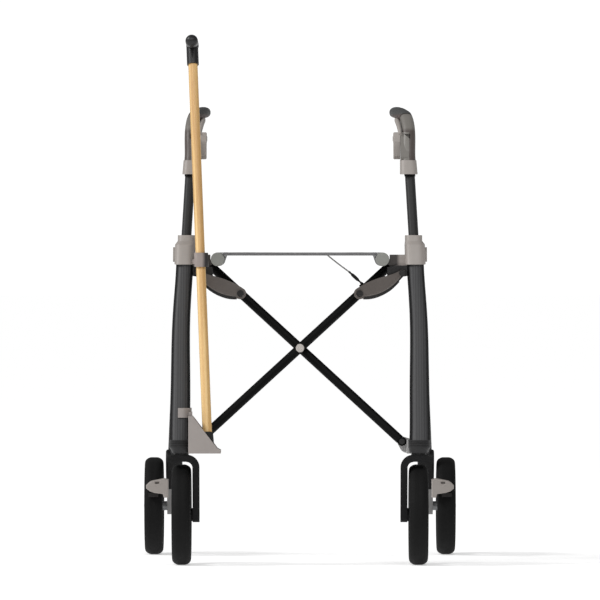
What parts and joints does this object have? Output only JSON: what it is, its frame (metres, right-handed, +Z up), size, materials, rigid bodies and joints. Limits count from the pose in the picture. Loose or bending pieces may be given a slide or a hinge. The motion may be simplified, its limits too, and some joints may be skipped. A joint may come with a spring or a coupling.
{
  "type": "rollator walker",
  "caption": "Folding rollator with carbon side frames, cross tubes, fabric seat, swivelling front wheels, hand brakes and a cane in its holder.",
  "frame": {"origin": "on the floor, at the centre of the wheels' footprint", "axes": "+X across the walker, left to right in the front view; -Y is forward, towards the swivelling front wheels; +Z up"},
  "size_m": [0.6072, 0.67, 1.008],
  "materials": {
    "carbon": "woven carbon under satin lacquer",
    "taupe_plastic": "fine-grained moulded plastic",
    "handle_plastic": "satin moulded plastic",
    "dark_plastic": "fine-grained moulded plastic",
    "grey_plastic": "fine-grained moulded plastic",
    "post_metal": "dark anodised",
    "black_tube": "satin black powder coat",
    "rail_metal": "coated, with moulded end caps",
    "steel": "zinc plated",
    "rubber_grip": "matte",
    "tyre_rubber": "matte",
    "rubber": "matte",
    "fabric": "plain woven",
    "cord": "braided",
    "wood": "satin lacquered",
    "cane_black": "satin"
  },
  "bodies": {
    "left_frame": {"left_front_leg": "carbon", "left_leg_cap": "dark_plastic", "left_collar": "taupe_plastic", "left_rear_leg": "carbon", "left_rear_arm": "dark_plastic", "left_rear_axle": "steel", "left_brake_housing": "taupe_plastic", "left_hinge_bracket": "grey_plastic", "left_seat_bracket": "taupe_plastic", "cane_cup": "taupe_plastic", "cane_clip": "taupe_plastic"},
    "right_frame": {"right_front_leg": "carbon", "right_leg_cap": "dark_plastic", "right_collar": "taupe_plastic", "right_rear_leg": "carbon", "right_rear_arm": "dark_plastic", "right_rear_axle": "steel", "right_brake_housing": "taupe_plastic", "right_hinge_bracket": "grey_plastic", "right_seat_bracket": "taupe_plastic"},
    "right_rising_tube": {"tube_rising_right": "black_tube", "right_seat_rail": "rail_metal", "centre_pivot": "taupe_plastic", "seat_fabric": "fabric", "fold_cord": "cord", "cord_toggle": "dark_plastic", "cord_anchor": "dark_plastic"},
    "left_rising_tube": {"tube_rising_left": "black_tube", "left_seat_rail": "rail_metal"},
    "left_fold_link": {"left_link": "handle_plastic"},
    "left_handle": {"left_handle_post": "post_metal", "left_handle_collar": "taupe_plastic", "left_handle_shell": "handle_plastic", "left_grip": "rubber_grip"},
    "left_lever": {"left_brake_lever": "taupe_plastic"},
    "left_pad": {"left_brake_pad": "rubber"},
    "left_button": {"left_height_button": "taupe_plastic"},
    "left_caster": {"left_fork": "dark_plastic", "left_front_axle": "steel"},
    "left_front_wheel": {"left_front_rim": "dark_plastic", "left_front_tyre": "tyre_rubber"},
    "left_rear_wheel": {"left_rear_rim": "dark_plastic", "left_rear_tyre": "tyre_rubber"},
    "right_fold_link": {"right_link": "handle_plastic"},
    "right_handle": {"right_handle_post": "post_metal", "right_handle_collar": "taupe_plastic", "right_handle_shell": "handle_plastic", "right_grip": "rubber_grip"},
    "right_lever": {"right_brake_lever": "taupe_plastic"},
    "right_pad": {"right_brake_pad": "rubber"},
    "right_button": {"right_height_button": "taupe_plastic"},
    "right_caster": {"right_fork": "dark_plastic", "right_front_axle": "steel"},
    "right_front_wheel": {"right_front_rim": "dark_plastic", "right_front_tyre": "tyre_rubber"},
    "right_rear_wheel": {"right_rear_rim": "dark_plastic", "right_rear_tyre": "tyre_rubber"},
    "cane": {"cane_shaft": "wood", "cane_tip": "rubber", "cane_handle": "cane_black"}
  },
  "joints": [
    {"name": "fold", "type": "hinge", "parent": "left_frame", "child": "right_rising_tube", "pos_m": [-0.193, -0.2405, 0.233], "axis": [0, -1, 0], "range_deg": [0, 35.62], "deforming": ["seat_fabric", "fold_cord"]},
    {"name": "cross_pivot", "type": "hinge", "parent": "right_rising_tube", "child": "left_rising_tube", "pos_m": [0, -0.14486, 0.40908], "axis": [0, -1, 0], "range_deg": [-71.25, 0]},
    {"name": "right_frame_hinge", "type": "hinge", "parent": "left_rising_tube", "child": "right_frame", "pos_m": [0.193, -0.2195, 0.233], "axis": [0, -1, 0], "range_deg": [0, 35.62]},
    {"name": "left_link_hinge", "type": "hinge", "parent": "left_frame", "child": "left_fold_link", "pos_m": [-0.195, -0.138, 0.552], "axis": [0, -1, 0], "range_deg": [0, 100.12]},
    {"name": "right_link_hinge", "type": "hinge", "parent": "right_frame", "child": "right_fold_link", "pos_m": [0.195, -0.138, 0.552], "axis": [0, -1, 0], "range_deg": [-100.12, 0]},
    {"name": "left_handle_height", "type": "slide", "parent": "left_frame", "child": "left_handle", "axis": [0.0495, 0.3945, 0.9175], "range_m": [-0.1, 0.05]},
    {"name": "left_brake_squeeze", "type": "hinge", "parent": "left_handle", "child": "left_lever", "pos_m": [-0.1869, -0.01167, 0.812], "axis": [1, 0, 0], "range_deg": [0, 14], "stiffness_Nm_per_rad": 0.6, "springref_deg": -5.73},
    {"name": "left_brake_press", "type": "slide", "parent": "left_frame", "child": "left_pad", "axis": [0, 1, 0], "range_m": [0, 0.0009]},
    {"name": "left_height_release", "type": "slide", "parent": "left_frame", "child": "left_button", "axis": [1, 0, 0], "range_m": [0, 0.003], "stiffness_N_per_m": 600, "springref_m": -0.001},
    {"name": "left_caster_swivel", "type": "hinge", "parent": "left_frame", "child": "left_caster", "pos_m": [-0.224, -0.265, 0.2], "axis": [0, 0, 1], "continuous": true},
    {"name": "left_front_wheel_spin", "type": "hinge", "parent": "left_caster", "child": "left_front_wheel", "pos_m": [-0.224, -0.24, 0.095], "axis": [1, 0, 0], "continuous": true},
    {"name": "left_rear_wheel_spin", "type": "hinge", "parent": "left_frame", "child": "left_rear_wheel", "pos_m": [-0.2855, 0.24, 0.095], "axis": [1, 0, 0], "continuous": true},
    {"name": "right_handle_height", "type": "slide", "parent": "right_frame", "child": "right_handle", "axis": [-0.0495, 0.3945, 0.9175], "range_m": [-0.1, 0.05]},
    {"name": "right_brake_squeeze", "type": "hinge", "parent": "right_handle", "child": "right_lever", "pos_m": [0.1869, -0.01167, 0.812], "axis": [1, 0, 0], "range_deg": [0, 14], "stiffness_Nm_per_rad": 0.6, "springref_deg": -5.73},
    {"name": "right_brake_press", "type": "slide", "parent": "right_frame", "child": "right_pad", "axis": [0, 1, 0], "range_m": [0, 0.0009]},
    {"name": "right_height_release", "type": "slide", "parent": "right_frame", "child": "right_button", "axis": [-1, 0, 0], "range_m": [0, 0.003], "stiffness_N_per_m": 600, "springref_m": -0.001},
    {"name": "right_caster_swivel", "type": "hinge", "parent": "right_frame", "child": "right_caster", "pos_m": [0.224, -0.265, 0.2], "axis": [0, 0, 1], "continuous": true},
    {"name": "right_front_wheel_spin", "type": "hinge", "parent": "right_caster", "child": "right_front_wheel", "pos_m": [0.224, -0.24, 0.095], "axis": [1, 0, 0], "continuous": true},
    {"name": "right_rear_wheel_spin", "type": "hinge", "parent": "right_frame", "child": "right_rear_wheel", "pos_m": [0.2855, 0.24, 0.095], "axis": [1, 0, 0], "continuous": true},
    {"name": "cane_lift", "type": "slide", "parent": "left_frame", "child": "cane", "axis": [-0.0411, 0.3384, 0.9401], "range_m": [0, 0.12]}
  ],
  "couplings": [
    {"joint": "cross_pivot", "follows": "fold", "ratio": -2},
    {"joint": "right_frame_hinge", "follows": "fold", "ratio": 1},
    {"joint": "left_link_hinge", "follows": "fold", "ratio": 2.8104},
    {"joint": "right_link_hinge", "follows": "fold", "ratio": -2.8104},
    {"joint": "left_brake_press", "follows": "left_brake_squeeze", "m_per_rad": 0.0036833},
    {"joint": "right_brake_press", "follows": "right_brake_squeeze", "m_per_rad": 0.0036833}
  ]
}
